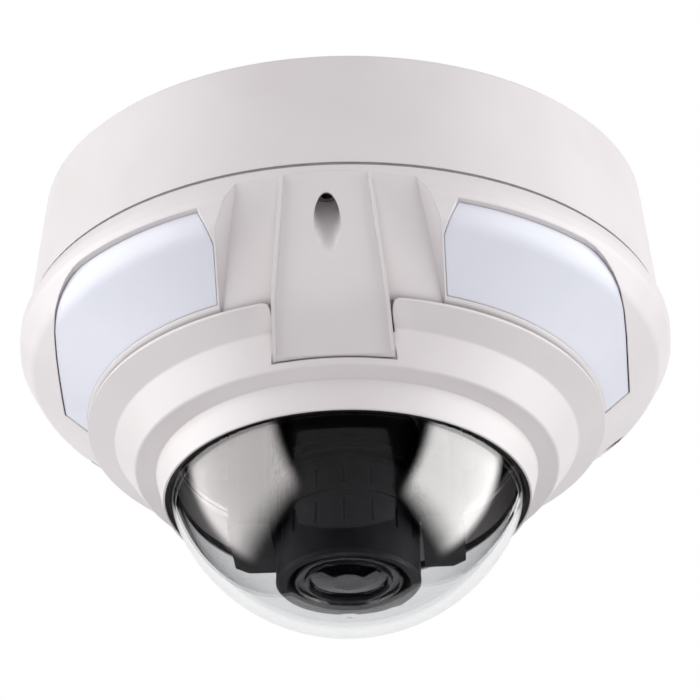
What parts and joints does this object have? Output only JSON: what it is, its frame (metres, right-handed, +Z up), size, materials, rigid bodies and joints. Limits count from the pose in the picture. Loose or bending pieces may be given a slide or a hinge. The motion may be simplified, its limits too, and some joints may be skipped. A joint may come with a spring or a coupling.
{
  "type": "dome security camera",
  "caption": "Ceiling dome camera: round housing, stepped cover with motion-sensor windows, clear bubble, and a pan, tilt and roll gimbal with a varifocal lens.",
  "frame": {"origin": "centre of the flat back that meets the ceiling", "axes": "+Z up into the ceiling, the dome hangs down along -Z, and -Y is the side that the lens tilts towards"},
  "size_m": [0.16, 0.1596, 0.114],
  "materials": {
    "white_casting": "fine satin powder coat on die-cast aluminium",
    "black_rubber": "matte moulded rubber",
    "milky_window": "milky translucent polyethylene, satin",
    "clear_dome": "clear polished polycarbonate",
    "black_plastic": "fine-grained black nylon",
    "steel": "plain stainless steel",
    "zinc_plate": "bright zinc plate",
    "circuit_board": "green solder mask",
    "tin_shell": "tin-plated shell",
    "green_plastic": "moulded terminal block",
    "cooler_metal": "black anodised fins",
    "red_plastic": "moulded cap",
    "lens_black": "satin black anodised and moulded lens body",
    "lens_glass": "coated glass"
  },
  "bodies": {
    "housing": {"base_housing": "white_casting", "base_gasket": "black_rubber", "cable_grommet": "black_rubber", "cover_housing": "white_casting", "sensor_window_left": "milky_window", "sensor_window_right": "milky_window", "bezel_ring": "white_casting", "dome_bubble": "clear_dome", "dome_gasket": "black_rubber", "dome_seal": "black_rubber", "inner_liner": "black_plastic", "cover_screws": "steel", "bezel_screws": "steel", "plate_screws": "steel", "chassis_plate": "zinc_plate", "main_board": "circuit_board", "board_spacers": "black_plastic", "network_jack": "tin_shell", "power_terminal": "green_plastic", "processor_cooler": "cooler_metal", "card_holder": "tin_shell", "reset_switch": "black_plastic", "motion_detector_left": "circuit_board", "motion_detector_right": "circuit_board"},
    "pan_turntable": {"pan_yoke": "black_plastic", "pan_retainer": "zinc_plate"},
    "tilt_frame": {"tilt_ring": "black_plastic", "tilt_pivots": "black_plastic"},
    "lens_unit": {"lens_sleeve": "black_plastic", "sleeve_clip": "steel", "rear_cap": "black_plastic", "image_sensor": "circuit_board", "sensor_spacer": "black_plastic", "lens_barrel": "lens_black"},
    "zoom_collar": {"zoom_ring": "lens_black"},
    "focus_collar": {"focus_ring": "lens_black", "front_lens": "lens_glass"},
    "reset_key": {"reset_button": "red_plastic"}
  },
  "joints": [
    {"name": "pan", "type": "hinge", "parent": "housing", "child": "pan_turntable", "pos_m": [0, 0, -0.045], "axis": [0, 0, -1], "range_deg": [-175, 175]},
    {"name": "tilt", "type": "hinge", "parent": "pan_turntable", "child": "tilt_frame", "pos_m": [0, 0, -0.069], "axis": [-1, 0, 0], "range_deg": [0, 75]},
    {"name": "lens_roll", "type": "hinge", "parent": "tilt_frame", "child": "lens_unit", "pos_m": [0, 0, -0.069], "axis": [0, 0, 1], "range_deg": [-175, 175]},
    {"name": "zoom_turn", "type": "hinge", "parent": "lens_unit", "child": "zoom_collar", "pos_m": [0, 0, -0.084], "axis": [0, 0, 1], "range_deg": [-45, 45]},
    {"name": "focus_turn", "type": "hinge", "parent": "lens_unit", "child": "focus_collar", "pos_m": [0, 0, -0.095], "axis": [0, 0, 1], "range_deg": [-60, 60]},
    {"name": "reset_press", "type": "slide", "parent": "housing", "child": "reset_key", "axis": [0, 0, 1], "range_m": [0, 0.0005], "stiffness_N_per_m": 500}
  ]
}
